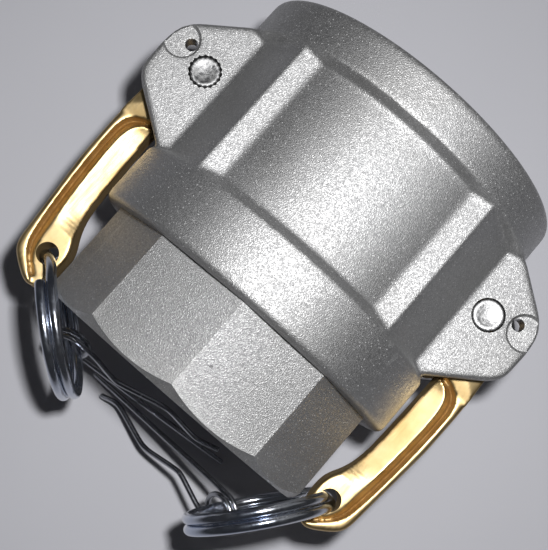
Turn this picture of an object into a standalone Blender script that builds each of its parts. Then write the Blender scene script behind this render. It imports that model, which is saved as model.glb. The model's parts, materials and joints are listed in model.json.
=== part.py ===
"""Camlock coupling, socket type: a cup with two cam arms at one end, a female thread at the other.

The coupling lies on its side. +Y runs along its axis towards the cup's mouth, +X goes across it
towards the right arm, and +Z goes up, along the arms' pivot pins. It is modelled about the point
where the coupling's axis crosses the plane of the two pins. An empty there carries every piece.
"""
import math

import bmesh
import bpy
from mathutils import Matrix, Vector

MM = 0.001

# Body, turned shape. Y is measured from the plane of the pivot pins. Outlines are in millimetres.
RIM_R = 33.0 * MM
RIM_ROUND = 1.0 * MM
MOUTH_Y = 19.9 * MM
RIM_FOOT_Y = 11.8 * MM
BARREL_R = 30.1 * MM
BARREL_TOP_Y = 10.8 * MM
BARREL_FOOT_Y = -14.2 * MM
COLLAR_TOP_Y = -16.4 * MM
COLLAR_FOOT_Y = -26.8 * MM
COLLAR_ROUND = 1.3 * MM
ROUND_STEPS = 48

# Thread end, ten-sided outside, with a turned chamfer at its end.
END_SIDES = 10
END_CORNER_R = 29.75 * MM
END_CHAMFER_R = 27.9 * MM
END_Y = -47.2 * MM
STEPS_PER_SIDE = 6

# Bore, from the cup's mouth to the thread's mouth.
BORE_R = 27.2 * MM
MOUTH_CHAMFER = 1.0 * MM
GROOVE_R = 28.4 * MM
GROOVE_TOP_Y = -17.7 * MM
GROOVE_FLOOR_Y = -24.8 * MM
WATERWAY_R = 20.0 * MM
WATERWAY_FOOT_Y = -27.4 * MM
THREAD_R = 23.0 * MM
THREAD_CHAMFER = 1.5 * MM

# Gasket in its groove.
GASKET_OUTER_R = 27.9 * MM
GASKET_INNER_R = 20.65 * MM
GASKET_TOP_Y = -18.15 * MM
GASKET_HEIGHT = 6.35 * MM

# Raised pads beside the barrel's crown, and the lugs that carry the pins.
PAD_TOP_Z = 24.9 * MM
PAD_EDGE_X = 20.7 * MM
PAD_ROOT_X = 8.0 * MM
PAD_ROOT_Z = 5.1 * MM
LUG_INNER_X = 28.4 * MM
LUG_HALF_HEIGHT = 11.0 * MM
LUG_EDGE_ROUND = 1.0 * MM
LUG_ROOT_X = 24.0
LUG_MIDDLE = (34.0, -1.5)
LUG_OUTLINE = [(LUG_ROOT_X, 12.6), (31.6, 12.6), (40.5, 5.9), (42.2, 3.8), (42.9, 0.4), (42.6, -6.4),
               (41.2, -8.4), (30.1, -16.3), (LUG_ROOT_X, -16.3)]
SLOT_HALF_HEIGHT = 6.6 * MM
SLOT_OUTLINE = [(18.0, -9.6), (30.3, -9.6), (30.3, -14.2), (33.5, -16.4), (33.5, -22.0), (50.0, -22.0),
                (50.0, 9.8), (18.0, 9.8)]

# Pivot pins and the lugs' small clip holes.
PIN_X = 33.2 * MM
PIN_R = 2.8 * MM
PIN_HALF_LENGTH = 11.1 * MM
PIN_CHAMFER = 0.3 * MM
PIN_HOLE_R = 3.1 * MM
CLIP_HOLE_X = 38.4 * MM
CLIP_HOLE_Y = 2.25 * MM
CLIP_HOLE_R = 1.05 * MM
RECESS_X = 40.3 * MM
RECESS_Y = 1.8 * MM
RECESS_R = 3.5 * MM
RECESS_DEPTH = 0.5 * MM

# Cam arm. Its outline is about its pin, in millimetres: X outwards, the handle along -Y.
HUB_HALF_HEIGHT = 6.2 * MM
HUB_R = 4.4 * MM
NOSE_R = 8.8 * MM
HANDLE_HALF_HEIGHT = 4.2 * MM
HUB_START = math.radians(-35.0)
HUB_SWELL_START = math.radians(105.0)
HUB_NOSE = math.radians(185.0)
HUB_END = math.radians(232.0)
HUB_STEPS = 26
HUB_FOOT = [(0.4, -10.5), (3.0, -10.9), (8.1, -11.5), (7.7, -6.0)]
HANDLE_OUTLINE = [(7.6, -8.0), (8.3, -12.5), (8.4, -16.0), (8.2, -25.0), (7.1, -36.0), (6.3, -44.4),
                  (5.0, -46.4), (0.4, -49.4), (-1.9, -48.6), (-2.9, -43.0), (-2.6, -39.6), (-0.4, -35.8),
                  (0.6, -31.0), (1.4, -13.0), (0.9, -9.2)]
HANDLE_CORNER = 1.2
GROOVE_OUTLINE = [(-0.5, -11.9), (3.2, -12.2), (5.8, -13.6), (7.0, -16.0), (7.1, -21.0), (6.4, -30.0),
                  (5.8, -37.0), (4.8, -43.0), (3.2, -45.4), (0.2, -47.9), (-0.6, -47.0), (1.6, -45.4),
                  (3.1, -42.8), (3.4, -40.0), (4.2, -35.5), (4.8, -27.0), (5.2, -19.0), (4.6, -16.0),
                  (2.8, -14.1), (-0.5, -13.6)]
POCKET_DEPTH = 1.4 * MM
RING_HOLE = (0.45 * MM, -42.7 * MM)
RING_HOLE_R = 2.2 * MM

# Split rings, wound twice. Each turns about the axis of its arm's hole.
RING_R = 13.1 * MM
RING_WIRE_R = 0.85 * MM
RING_PITCH = 2.0 * MM
RING_SET_BACK = 0.3 * MM
RING_STEPS = 40
RING_GAP_TURN = 0.11
RING_CROSS_TURN = 0.08
LEFT_RING_TURN = math.radians(-40.5)
RIGHT_RING_TURN = math.radians(-129.3)
LEFT_RING_SPLIT = math.radians(20.0)
RIGHT_RING_SPLIT = math.radians(-12.0)

# Hairpin safety clips, each hung by its coil on a ring's lower half.
CLIP_WIRE_R = 0.55 * MM
COIL_R = 3.65 * MM
COIL_PITCH = 1.4 * MM
COIL_TURNS = 1.5
COIL_STEPS = 14
CLIP_STRAIGHT_X = (42.0 * MM, 22.0 * MM, 6.0 * MM)
CLIP_FLAT_X = 32.0
CLIP_BEND = 2.2
CLIP_WAVE = [(4.5, 2.6), (11.6, -0.7), (13.2, -0.6), (22.2, 1.5), (24.4, 1.4), (32.4, -1.7),
             (34.4, -1.8), (38.6, -0.4)]
LEFT_CLIP_SEAT = math.radians(-102.0)
LEFT_CLIP_DIRECTION = Vector((34.0, 3.0, -14.6))
RIGHT_CLIP_SEAT = math.radians(-122.0)
RIGHT_CLIP_DIRECTION = Vector((-34.2, 0.3, -20.5))

# The part stands on its collar and rim, with its origin under the middle of its outer box.
RING_REACH = (2 * RING_R - RING_SET_BACK) * math.sin(RIGHT_RING_TURN)
RING_FAR_Y = RING_HOLE[1] + RING_REACH - RING_PITCH / 2 * abs(math.cos(RIGHT_RING_TURN)) - RING_WIRE_R
PIN_PLANE_Y = -(MOUTH_Y + RING_FAR_Y) / 2
AXIS_HEIGHT = RIM_R


def clear_scene():
    """Remove whatever the file opened with."""
    for item in list(bpy.data.objects):
        bpy.data.objects.remove(item, do_unlink=True)


def make_material(name, colour, metallic, roughness):
    """Return a Principled material."""
    material = bpy.data.materials.new(name)
    material.use_nodes = True
    shader = material.node_tree.nodes["Principled BSDF"]
    shader.inputs["Base Color"].default_value = (*colour, 1.0)
    shader.inputs["Metallic"].default_value = metallic
    shader.inputs["Roughness"].default_value = roughness
    return material


def add_object(name, data, parent, material=None):
    """Link a mesh or curve into the scene under its parent."""
    item = bpy.data.objects.new(name, data)
    bpy.context.collection.objects.link(item)
    item.parent = parent
    if material:
        data.materials.append(material)
    return item


def finish_mesh(name, mesh_builder):
    """Turn a bmesh into a mesh with its faces pointing out and its round sides smooth."""
    bmesh.ops.recalc_face_normals(mesh_builder, faces=mesh_builder.faces)
    mesh = bpy.data.meshes.new(name)
    mesh_builder.to_mesh(mesh)
    mesh_builder.free()
    mesh.shade_smooth()
    mesh.set_sharp_from_angle(angle=math.radians(30.0))
    return mesh


def round_corners(points, radius, steps=3):
    """Replace each inner corner of an open line by a curve that starts radius away from it."""
    line = [Vector(point) for point in points]
    result = [line[0]]
    for before, corner, after in zip(line, line[1:], line[2:]):
        result.extend(corner_curve(before, corner, after, radius, steps))
    result.append(line[-1])
    return result


def round_outline(points, radius, steps=3):
    """Round every corner of a closed outline."""
    line = [Vector(point) for point in points]
    result = []
    for index, corner in enumerate(line):
        result.extend(corner_curve(line[index - 1], corner, line[(index + 1) % len(line)], radius, steps))
    return result


def corner_curve(before, corner, after, radius, steps):
    """Return points on a quadratic curve that cuts one corner."""
    reach_in = min(radius, (before - corner).length * 0.45)
    reach_out = min(radius, (after - corner).length * 0.45)
    start = corner + (before - corner).normalized() * reach_in
    end = corner + (after - corner).normalized() * reach_out
    points = []
    for step in range(steps + 1):
        t = step / steps
        points.append(start * (1 - t) ** 2 + corner * 2 * t * (1 - t) + end * t ** 2)
    return points


def add_loft(builder, loops):
    """Join a stack of closed loops of equal length into one closed solid."""
    rings = [[builder.verts.new(point) for point in loop] for loop in loops]
    for lower, upper in zip(rings, rings[1:]):
        count = len(lower)
        for index in range(count):
            following = (index + 1) % count
            builder.faces.new((lower[index], lower[following], upper[following], upper[index]))
    builder.faces.new(rings[0])
    builder.faces.new(rings[-1])


def add_prism(builder, outline, low_z, high_z):
    """Add an upright prism over a flat outline."""
    add_loft(builder, [[(x, y, z) for x, y in outline] for z in (low_z, high_z)])


def circle(centre, radius, count):
    """Return the points of a circle in the XY plane."""
    turns = [2 * math.pi * index / count for index in range(count)]
    return [(centre[0] + radius * math.cos(turn), centre[1] + radius * math.sin(turn)) for turn in turns]


def turned_loop(radius, y):
    """Return one circle about the coupling's axis, with a flat side at its lowest place."""
    step = 2 * math.pi / ROUND_STEPS
    turns = [step * (index + 0.5) for index in range(ROUND_STEPS)]
    corner = radius / math.cos(step / 2)
    return [(corner * math.sin(turn), y, corner * math.cos(turn)) for turn in turns]


def add_turned(builder, profile):
    """Add a solid turned about the coupling's axis from (radius, y) points."""
    add_loft(builder, [turned_loop(radius, y) for radius, y in profile])


def make_tool(name, builder, parent):
    """Make a hidden wire object for a Boolean."""
    tool = add_object(name, finish_mesh(name, builder), parent)
    tool.hide_render = True
    tool.display_type = 'WIRE'
    return tool


def combine(target, tool, operation):
    """Add an exact Boolean to the target."""
    modifier = target.modifiers.new(tool.name, 'BOOLEAN')
    modifier.operation = operation
    modifier.solver = 'EXACT'
    modifier.object = tool


def mirrored(outline, side):
    """Flip an outline across the coupling's axis for the left side."""
    return [(side * x, y) for x, y in outline]


def scaled(outline):
    """Turn an outline in millimetres into metres."""
    return [(x * MM, y * MM) for x, y in outline]


def cup_profile():
    """Return the outside of the cup, from the thread end's root to the mouth."""
    return [
        (RIM_R - 3 * COLLAR_ROUND, COLLAR_FOOT_Y - COLLAR_ROUND),
        (RIM_R - COLLAR_ROUND, COLLAR_FOOT_Y - COLLAR_ROUND),
        (RIM_R - COLLAR_ROUND * 0.3, COLLAR_FOOT_Y - COLLAR_ROUND * 0.7),
        (RIM_R, COLLAR_FOOT_Y),
        (RIM_R, COLLAR_TOP_Y),
        (BARREL_R, BARREL_FOOT_Y),
        (BARREL_R, BARREL_TOP_Y),
        (RIM_R, RIM_FOOT_Y),
        (RIM_R, MOUTH_Y - RIM_ROUND),
        (RIM_R - RIM_ROUND * 0.3, MOUTH_Y - RIM_ROUND * 0.3),
        (RIM_R - RIM_ROUND, MOUTH_Y),
    ]


def thread_end_loops():
    """Return the ten-sided end: its root, the scalloped start of the chamfer, and the end circle."""
    step = 2 * math.pi / (END_SIDES * STEPS_PER_SIDE)
    flat_r = END_CORNER_R * math.cos(math.pi / END_SIDES)
    root, scallop, end = [], [], []
    for index in range(END_SIDES * STEPS_PER_SIDE):
        turn = step * index
        within = (turn % (2 * math.pi / END_SIDES)) - math.pi / END_SIDES
        radius = flat_r / math.cos(within)
        across, up = math.sin(turn), math.cos(turn)
        chamfer_y = END_Y + (radius - END_CHAMFER_R)
        root.append((radius * across, COLLAR_FOOT_Y, radius * up))
        scallop.append((radius * across, chamfer_y, radius * up))
        end.append((END_CHAMFER_R * across, END_Y, END_CHAMFER_R * up))
    return [root, scallop, end]


def bore_profile():
    """Return the bore as a solid, from past the mouth to past the thread end."""
    past = 1.0 * MM
    return [
        (BORE_R + MOUTH_CHAMFER + past, MOUTH_Y + past),
        (BORE_R, MOUTH_Y - MOUTH_CHAMFER),
        (BORE_R, GROOVE_TOP_Y),
        (GROOVE_R, GROOVE_TOP_Y),
        (GROOVE_R, GROOVE_FLOOR_Y),
        (WATERWAY_R, GROOVE_FLOOR_Y),
        (WATERWAY_R, WATERWAY_FOOT_Y),
        (THREAD_R, WATERWAY_FOOT_Y - (THREAD_R - WATERWAY_R)),
        (THREAD_R, END_Y + THREAD_CHAMFER),
        (THREAD_R + THREAD_CHAMFER + past, END_Y - past),
    ]


def pad_section(side, level):
    """Return a raised pad's section across the coupling, inside the barrel at its inner corner."""
    section = [(PAD_ROOT_X, PAD_ROOT_Z), (LUG_INNER_X, PAD_ROOT_Z), (LUG_INNER_X, LUG_HALF_HEIGHT),
               (PAD_EDGE_X, PAD_TOP_Z), (PAD_ROOT_X, PAD_TOP_Z)]
    return [(side * x, level * z) for x, z in section]


def lug_loops(side):
    """Return a lug's outline at four heights, drawn in a little at its upper and lower faces."""
    drawn_in = LUG_EDGE_ROUND / MM
    middle = Vector(LUG_MIDDLE)
    smaller = []
    for point in LUG_OUTLINE:
        offset = Vector(point) - middle
        keep = 1.0 if point[0] == LUG_ROOT_X else 1.0 - drawn_in / offset.length
        smaller.append(tuple(middle + offset * keep))
    straight_z = LUG_HALF_HEIGHT - LUG_EDGE_ROUND
    heights = [(-LUG_HALF_HEIGHT, smaller), (-straight_z, LUG_OUTLINE), (straight_z, LUG_OUTLINE),
               (LUG_HALF_HEIGHT, smaller)]
    return [[(x, y, z) for x, y in mirrored(scaled(loop), side)] for z, loop in heights]


def build_body(frame, material):
    """Build the cast body: the cup, the thread end, the pads and lugs, then every cut."""
    builder = bmesh.new()
    add_turned(builder, cup_profile())
    body = add_object("body", finish_mesh("body", builder), frame, material)

    builder = bmesh.new()
    add_loft(builder, thread_end_loops())
    combine(body, make_tool("tool_thread_end", builder, frame), 'UNION')

    builder = bmesh.new()
    for side in (-1, 1):
        for level in (-1, 1):
            section = pad_section(side, level)
            ends = (COLLAR_TOP_Y - MM, RIM_FOOT_Y + MM)
            add_loft(builder, [[(x, y, z) for x, z in section] for y in ends])
    combine(body, make_tool("tool_pads", builder, frame), 'UNION')

    builder = bmesh.new()
    for side in (-1, 1):
        add_loft(builder, lug_loops(side))
    combine(body, make_tool("tool_lugs", builder, frame), 'UNION')

    builder = bmesh.new()
    add_turned(builder, bore_profile())
    combine(body, make_tool("tool_bore", builder, frame), 'DIFFERENCE')

    builder = bmesh.new()
    for side in (-1, 1):
        outline = mirrored(scaled(SLOT_OUTLINE), side)
        add_prism(builder, outline, -SLOT_HALF_HEIGHT, SLOT_HALF_HEIGHT)
    combine(body, make_tool("tool_slots", builder, frame), 'DIFFERENCE')

    builder = bmesh.new()
    past_z = LUG_HALF_HEIGHT + 2 * MM
    for side in (-1, 1):
        add_prism(builder, circle((side * PIN_X, 0), PIN_HOLE_R, 24), -past_z, past_z)
        add_prism(builder, circle((side * CLIP_HOLE_X, CLIP_HOLE_Y), CLIP_HOLE_R, 14), -past_z, past_z)
    combine(body, make_tool("tool_lug_holes", builder, frame), 'DIFFERENCE')

    builder = bmesh.new()
    floor_z = LUG_HALF_HEIGHT - RECESS_DEPTH
    for side in (-1, 1):
        outline = circle((side * RECESS_X, RECESS_Y), RECESS_R, 24)
        add_prism(builder, outline, floor_z, past_z)
        add_prism(builder, outline, -past_z, -floor_z)
    combine(body, make_tool("tool_recesses", builder, frame), 'DIFFERENCE')


def build_gasket(frame, material):
    """Build the gasket as a plain ring with a rectangular section."""
    foot_y = GASKET_TOP_Y - GASKET_HEIGHT
    profile = [(GASKET_OUTER_R, foot_y), (GASKET_OUTER_R, GASKET_TOP_Y), (GASKET_INNER_R, GASKET_TOP_Y),
               (GASKET_INNER_R, foot_y)]
    builder = bmesh.new()
    loops = [[builder.verts.new(point) for point in turned_loop(radius, y)] for radius, y in profile]
    for index, loop in enumerate(loops):
        following = loops[(index + 1) % len(loops)]
        for step in range(ROUND_STEPS):
            after = (step + 1) % ROUND_STEPS
            builder.faces.new((loop[step], loop[after], following[after], following[step]))
    add_object("gasket", finish_mesh("gasket", builder), frame, material)


def build_pin(name, side, frame, material):
    """Build a pivot pin: a plain cylinder with small end chamfers."""
    builder = bmesh.new()
    inner = PIN_HALF_LENGTH - PIN_CHAMFER
    levels = [(-PIN_HALF_LENGTH, PIN_R - PIN_CHAMFER), (-inner, PIN_R), (inner, PIN_R),
              (PIN_HALF_LENGTH, PIN_R - PIN_CHAMFER)]
    add_loft(builder, [[(x, y, z) for x, y in circle((0, 0), radius, 24)] for z, radius in levels])
    pin = add_object(name, finish_mesh(name, builder), frame, material)
    pin.location = (side * PIN_X, 0, 0)


def ease(t):
    """Return a smooth step from 0 to 1."""
    t = min(1.0, max(0.0, t))
    return 3 * t ** 2 - 2 * t ** 3


def hub_outline():
    """Return the cam: a round hub that swells inwards to the nose, and its foot on the handle."""
    points = []
    for index in range(HUB_STEPS + 1):
        turn = HUB_START + (HUB_END - HUB_START) * index / HUB_STEPS
        swell = ease((turn - HUB_SWELL_START) / (HUB_NOSE - HUB_SWELL_START))
        radius = HUB_R + (NOSE_R - HUB_R) * swell
        points.append((radius * math.cos(turn), radius * math.sin(turn)))
    return points + scaled(HUB_FOOT)


def build_arm(name, side, frame, material):
    """Build a cam arm about its pin: the cam, the grooved handle and the drilled end."""
    builder = bmesh.new()
    handle = scaled(round_outline(HANDLE_OUTLINE, HANDLE_CORNER))
    add_prism(builder, mirrored(handle, side), -HANDLE_HALF_HEIGHT, HANDLE_HALF_HEIGHT)
    arm = add_object(name, finish_mesh(name, builder), frame, material)
    arm.location = (side * PIN_X, 0, 0)

    builder = bmesh.new()
    add_prism(builder, mirrored(hub_outline(), side), -HUB_HALF_HEIGHT, HUB_HALF_HEIGHT)
    combine(arm, make_tool(name + "_tool_hub", builder, arm), 'UNION')

    builder = bmesh.new()
    past_z = HUB_HALF_HEIGHT + MM
    floor_z = HANDLE_HALF_HEIGHT - POCKET_DEPTH
    groove = mirrored(scaled(GROOVE_OUTLINE), side)
    add_prism(builder, groove, floor_z, past_z)
    add_prism(builder, groove, -past_z, -floor_z)
    add_prism(builder, circle((0, 0), PIN_HOLE_R, 24), -past_z, past_z)
    add_prism(builder, circle((side * RING_HOLE[0], RING_HOLE[1]), RING_HOLE_R, 20), -past_z, past_z)
    combine(arm, make_tool(name + "_tool_cuts", builder, arm), 'DIFFERENCE')


def add_wire(name, points, wire_r, parent, material):
    """Build a round wire along a line of points."""
    curve = bpy.data.curves.new(name, 'CURVE')
    curve.dimensions = '3D'
    curve.bevel_depth = wire_r
    curve.bevel_resolution = 2
    curve.use_fill_caps = True
    spline = curve.splines.new('POLY')
    spline.points.add(len(points) - 1)
    for target, point in zip(spline.points, points):
        target.co = (*point, 1.0)
    return add_object(name, curve, parent, material)


def ring_point(turn, offset):
    """Return a place on a ring: turn 0 is in the arm's hole, half a turn is the far side.

    The wire bows as it goes through the hole, so the ring sits back a little to stay clear of it.
    """
    return Vector((RING_R - RING_SET_BACK - RING_R * math.cos(turn), offset, RING_R * math.sin(turn)))


def ring_path(split):
    """Wind the ring's wire twice, crossing from one turn to the other beside its two ends."""
    points = []
    first, last = RING_GAP_TURN, 2.0 - RING_GAP_TURN
    count = 2 * RING_STEPS
    for index in range(count + 1):
        turns = first + (last - first) * index / count
        crossed = ease((turns - 1.0 + RING_CROSS_TURN) / (2 * RING_CROSS_TURN))
        offset = RING_PITCH * (crossed - 0.5)
        points.append(ring_point(split + 2 * math.pi * turns, offset))
    return points


def build_ring(name, side, turn, split, frame, material):
    """Build a split ring that hangs in its arm's hole and turns about the hole's axis."""
    ring = add_wire(name, ring_path(split), RING_WIRE_R, frame, material)
    ring.location = (side * (PIN_X + RING_HOLE[0]), RING_HOLE[1], 0)
    ring.rotation_euler = (0, 0, turn)


def clip_path():
    """Bend the clip: a straight leg, a coil of one and a half turns, and a waved leg."""
    half_rise = COIL_TURNS * COIL_PITCH / 2
    tip_x, middle_x, root_x = CLIP_STRAIGHT_X
    points = [Vector((tip_x, -COIL_R, 0)), Vector((middle_x, -COIL_R, -half_rise / 2)),
              Vector((root_x, -COIL_R, -half_rise))]
    count = int(COIL_TURNS * COIL_STEPS)
    for index in range(count + 1):
        turn = -math.pi / 2 - 2 * math.pi * COIL_TURNS * index / count
        rise = half_rise * (2 * index / count - 1)
        points.append(Vector((COIL_R * math.cos(turn), COIL_R * math.sin(turn), rise)))
    wave = [(x * MM, y * MM, half_rise * max(0.0, 1 - x / CLIP_FLAT_X)) for x, y in CLIP_WAVE]
    leg = round_corners([points[-1]] + wave, CLIP_BEND * MM, 2)
    return points + leg[1:]


def build_clip(name, side, ring_turn, seat, direction, frame, material):
    """Build a safety clip whose coil is round its ring's wire, with its legs along a direction."""
    about_hole = Matrix.Rotation(ring_turn, 3, 'Z')
    tangent = about_hole @ Vector((-math.sin(seat), 0, -math.cos(seat)))
    along = direction.normalized()
    coil_axis = (tangent - along * tangent.dot(along)).normalized()
    across = coil_axis.cross(along)
    centre = about_hole @ ring_point(seat, 0) + Vector((side * (PIN_X + RING_HOLE[0]), RING_HOLE[1], 0))
    clip = add_wire(name, clip_path(), CLIP_WIRE_R, frame, material)
    turned = Matrix((along, across, coil_axis)).transposed().to_4x4()
    clip.matrix_local = Matrix.Translation(centre) @ turned


def main():
    """Build the whole coupling."""
    clear_scene()
    frame = bpy.data.objects.new("pin_plane", None)
    bpy.context.collection.objects.link(frame)
    frame.location = (0, PIN_PLANE_Y, AXIS_HEIGHT)
    aluminium = make_material("cast_aluminium", (0.30, 0.30, 0.29), 0.7, 0.6)
    rubber = make_material("nitrile_rubber", (0.02, 0.02, 0.02), 0.0, 0.7)
    build_body(frame, aluminium)
    build_gasket(frame, rubber)
    rings = {-1: (LEFT_RING_TURN, LEFT_RING_SPLIT), 1: (RIGHT_RING_TURN, RIGHT_RING_SPLIT)}
    clips = {-1: (LEFT_CLIP_SEAT, LEFT_CLIP_DIRECTION), 1: (RIGHT_CLIP_SEAT, RIGHT_CLIP_DIRECTION)}
    for side, word in ((-1, "left"), (1, "right")):
        steel = make_material("pin_steel_" + word, (0.55, 0.55, 0.55), 1.0, 0.4)
        brass = make_material("brass_" + word, (0.75, 0.50, 0.18), 1.0, 0.35)
        zinc = make_material("ring_zinc_" + word, (0.45, 0.48, 0.52), 1.0, 0.25)
        wire = make_material("clip_wire_" + word, (0.35, 0.36, 0.38), 1.0, 0.3)
        build_pin("pivot_pin_" + word, side, frame, steel)
        build_arm("cam_arm_" + word, side, frame, brass)
        turn, split = rings[side]
        build_ring("split_ring_" + word, side, turn, split, frame, zinc)
        seat, direction = clips[side]
        build_clip("safety_clip_" + word, side, turn, seat, direction, frame, wire)


main()
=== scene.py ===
"""Looks of the camlock coupling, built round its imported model.

Shapes are drawn about the point where the coupling's axis crosses the plane of the two pivot pins:
+Y towards the cup's mouth, +X towards the right arm, +Z up. Sizes are in millimetres, and MM turns
them into metres where a mesh is made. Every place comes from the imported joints.
"""

import json
import math

import bmesh
import bpy
from mathutils import Matrix, Vector

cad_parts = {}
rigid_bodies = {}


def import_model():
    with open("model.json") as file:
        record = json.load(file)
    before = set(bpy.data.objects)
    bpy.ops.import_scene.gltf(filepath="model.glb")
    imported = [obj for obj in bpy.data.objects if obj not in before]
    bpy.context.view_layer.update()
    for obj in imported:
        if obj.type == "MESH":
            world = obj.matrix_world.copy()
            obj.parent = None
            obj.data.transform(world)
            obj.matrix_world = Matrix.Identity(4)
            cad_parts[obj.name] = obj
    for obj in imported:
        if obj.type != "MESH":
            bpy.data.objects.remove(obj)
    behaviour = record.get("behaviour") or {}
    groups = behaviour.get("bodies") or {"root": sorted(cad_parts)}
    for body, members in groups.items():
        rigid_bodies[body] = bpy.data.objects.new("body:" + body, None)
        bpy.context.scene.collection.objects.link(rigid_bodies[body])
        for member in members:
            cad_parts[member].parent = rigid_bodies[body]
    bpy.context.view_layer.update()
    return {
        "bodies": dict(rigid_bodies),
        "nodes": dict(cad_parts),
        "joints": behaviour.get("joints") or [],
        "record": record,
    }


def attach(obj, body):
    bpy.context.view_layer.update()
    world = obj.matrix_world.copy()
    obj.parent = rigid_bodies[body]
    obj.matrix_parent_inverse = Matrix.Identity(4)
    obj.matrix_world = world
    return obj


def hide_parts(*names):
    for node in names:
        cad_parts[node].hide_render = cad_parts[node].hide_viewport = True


MM = 0.001
SIDES = ((-1, "left"), (1, "right"))

# Body, turned shape. Y is measured from the plane of the pins.
RIM_R = 33.0
RIM_ROUND = 1.1
MOUTH_Y = 19.9
RIM_FOOT_Y = 11.8
BARREL_R = 30.1
BARREL_TOP_Y = 11.1
BARREL_FOOT_Y = -14.9
COLLAR_TOP_Y = -16.4
COLLAR_FOOT_Y = -26.8
COLLAR_ROUND = 1.3

# Thread end: ten flat sides, with a turned chamfer that cuts an arc into each of them.
END_SIDES = 10
END_CORNER_R = 29.75
END_CHAMFER_R = 27.9
END_Y = -47.2

# Bore, from the cup's mouth to the thread's mouth.
BORE_R = 27.2
MOUTH_CHAMFER = 1.0
GROOVE_R = 28.4
GROOVE_TOP_Y = -17.7
GROOVE_FLOOR_Y = -24.8
WATERWAY_R = 20.0
WATERWAY_FOOT_Y = -27.4
THREAD_R = 23.0
THREAD_CHAMFER = 1.5

# Female thread, cut at its real pitch. Its section is drawn as (out from THREAD_R, along Y).
THREAD_PITCH = 2.2
THREAD_DEPTH = 1.1
THREAD_TURNS = 6
THREAD_STEPS = 96
THREAD_START = 1.2
THREAD_FADE_STEPS = 30
THREAD_BURIED = 0.2
THREAD_SECTION = [(0.4, -0.95), (0.4, 0.95), (-THREAD_DEPTH, 0.15), (-THREAD_DEPTH, -0.15)]

# Pads beside the barrel's crown. A bevel runs along the outer edge of each.
PAD_TOP_Z = 25.2
PAD_EDGE_X = 20.7
PAD_BEVEL_X = 22.0
PAD_BEVEL_Z = 23.2
PAD_ROOT_X = 8.0
PAD_ROOT_Z = 5.1
PAD_OVERLAP = 1.0

# Lugs that carry the pins.
LUG_INNER_X = 28.4
LUG_ROOT_X = 24.0
LUG_HALF_HEIGHT = 11.0
LUG_EDGE_ROUND = 1.0
LUG_MIDDLE = (34.0, -1.5)
LUG_OUTLINE = [(LUG_ROOT_X, 12.6), (31.6, 12.6), (40.5, 5.9), (42.2, 3.8), (42.9, 0.4), (42.6, -6.4),
               (41.2, -8.4), (30.1, -16.3), (LUG_ROOT_X, -16.3)]
LUG_CORNER = 1.6
LUG_PAST = 2.0
SLOT_HALF_HEIGHT = 6.6
SLOT_OUTLINE = [(18.0, -9.6), (30.3, -9.6), (30.3, -14.2), (33.5, -16.4), (33.5, -22.0), (50.0, -22.0),
                (50.0, 9.8), (18.0, 9.8)]

# Pins, their holes and the small clip holes in their round recesses. PIN_DISH is (sunk, inside PIN_R).
# A recess is cast smaller by its margin, with the rest of its depth left, and then cut to size.
PIN_R = 2.8
PIN_HALF_LENGTH = 11.1
PIN_HOLE_R = 3.1
SPLINE_COUNT = 18
SPLINE_DEPTH = 0.13
PIN_EDGE_ROUND = 0.35
PIN_DISH = [(0.02, 0.8), (0.16, 1.1)]
SPLINE_INNER_R = 2.3
CLIP_HOLE = (38.4, 2.25)
CLIP_HOLE_R = 1.2
RECESS = (40.3, 1.8)
RECESS_R = 3.6
RECESS_FLOOR_R = 3.1
RECESS_DEPTH = 0.65
RECESS_CAST_MARGIN = 0.4
RECESS_CAST_REST = 0.12

# Gasket.
GASKET_OUTER_R = 27.9
GASKET_INNER_R = 20.65
GASKET_TOP_Y = -18.15
GASKET_HEIGHT = 6.35
GASKET_ROUND = 0.7

# Cam arm, about its pin: X outwards, the handle along -Y.
HUB_HALF_HEIGHT = 6.2
HUB_R = 4.4
NOSE_R = 8.8
HUB_START = math.radians(-35.0)
HUB_SWELL_START = math.radians(105.0)
HUB_NOSE = math.radians(185.0)
HUB_END = math.radians(232.0)
HUB_FOOT = [(1.3, -11.5), (1.4, -13.9), (8.3, -14.2), (7.9, -8.0), (6.0, -4.0)]
HUB_RISE_FOOT_Y = -13.6
HUB_RISE_TILT = math.radians(14.0)
HUB_RISE_HALF_WIDTH = 14.0
HUB_CORNER = [(5.2, -9.8, 5.1), (10.0, -14.4, 4.1), (10.0, -4.0, 3.9)]
HANDLE_HALF_HEIGHT = 4.2
HANDLE_OUTLINE = [(7.6, -8.0), (8.3, -12.5), (8.4, -16.0), (8.2, -25.0), (7.1, -36.0), (6.3, -44.4),
                  (5.0, -46.4), (0.4, -49.4), (-1.9, -48.6), (-2.9, -43.0), (-2.6, -39.6), (-0.4, -35.8),
                  (0.6, -31.0), (1.4, -13.0), (0.9, -9.2)]
HANDLE_CORNER = 2.2
HANDLE_EDGE = [(4.2, 0.95), (4.05, 0.5), (3.75, 0.2), (3.2, 0.0)]
GROOVE_RIM_LINE = [(0.0, -12.2), (3.6, -12.4), (6.1, -13.8), (7.1, -16.4), (7.0, -22.0), (6.5, -30.0),
                   (5.8, -37.0), (4.8, -43.0), (3.2, -45.4), (0.2, -47.9)]
GROOVE_BAR_LINE = [(0.0, -13.3), (2.7, -13.5), (4.6, -15.2), (5.2, -18.5), (4.9, -26.0), (4.2, -34.0),
                   (3.4, -39.6), (3.0, -42.8), (1.6, -45.4), (-0.6, -47.0)]
BAR_TILT = math.radians(18.5)
BAR_FADE_Y = (-33.0, -39.0)
BAR_INNER_X = -4.0
GROOVE_CORNER = 2.4
GROOVE_DEPTH = 1.7
GROOVE_FLOOR = (0.15, 0.35)
BOSS_OUTLINE = [(4.9, -39.8), (-1.4, -34.6), (-5.0, -38.0), (-5.0, -52.0), (0.0, -48.2), (2.6, -45.8),
                (3.9, -43.2)]
BOSS_CREASE = ((-0.4, -35.9), (4.2, -39.6))
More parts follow.
